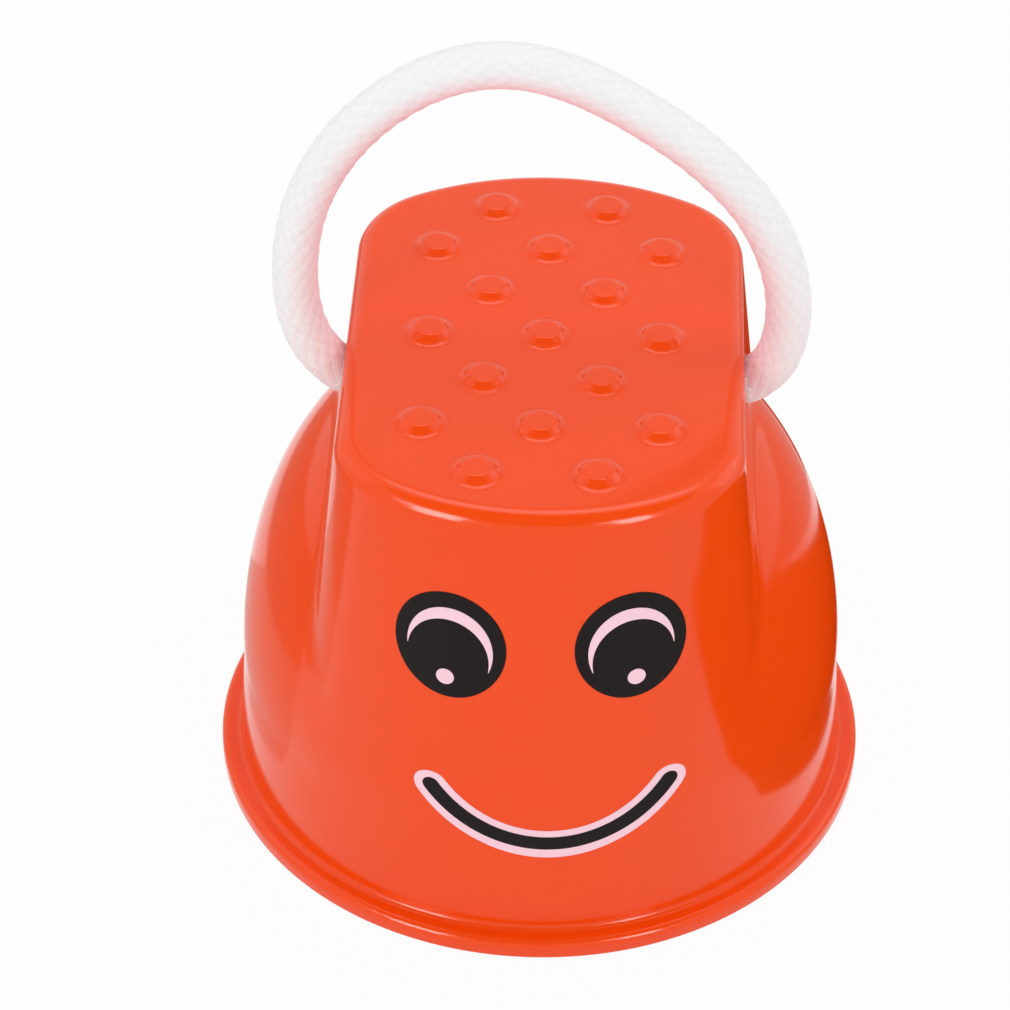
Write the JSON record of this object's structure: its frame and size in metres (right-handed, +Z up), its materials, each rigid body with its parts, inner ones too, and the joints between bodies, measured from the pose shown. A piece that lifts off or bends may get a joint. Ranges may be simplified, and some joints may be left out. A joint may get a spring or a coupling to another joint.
{
  "type": "cup stilt",
  "caption": "Moulded plastic stepping cup with a nubbed standing platform, sloping side shoulders, a printed smiling face and a short braided rope handle that swings in its side holes.",
  "frame": {"origin": "centre of the base rim, on the ground that the cup stands on", "axes": "+Z up along the axis of the cup, the printed face looks along -Y, the rope holes lie on the +X and -X sides"},
  "size_m": [0.15, 0.15, 0.187],
  "materials": {
    "cup_plastic": "glossy moulded polypropylene, orange red",
    "white_rope": "braided polypropylene rope, white",
    "black_ink": "pad-printed black ink",
    "white_ink": "pad-printed white ink"
  },
  "bodies": {
    "cup": {"cup": "cup_plastic", "eye_left": "black_ink", "eye_right": "black_ink", "eye_gleam_left": "white_ink", "eye_gleam_right": "white_ink", "eye_glint_left": "white_ink", "eye_glint_right": "white_ink", "mouth_outline": "white_ink", "mouth_line": "black_ink"},
    "handle": {"rope_arch": "white_rope", "rope_neck_left": "white_rope", "rope_neck_right": "white_rope", "knot_left": "white_rope", "knot_right": "white_rope", "rope_tail_left": "white_rope", "rope_tail_right": "white_rope"}
  },
  "joints": [
    {"name": "handle_swing", "type": "hinge", "parent": "cup", "child": "handle", "pos_m": [0, 0, 0.106], "axis": [1, 0, 0], "range_deg": [-65, 65]}
  ]
}
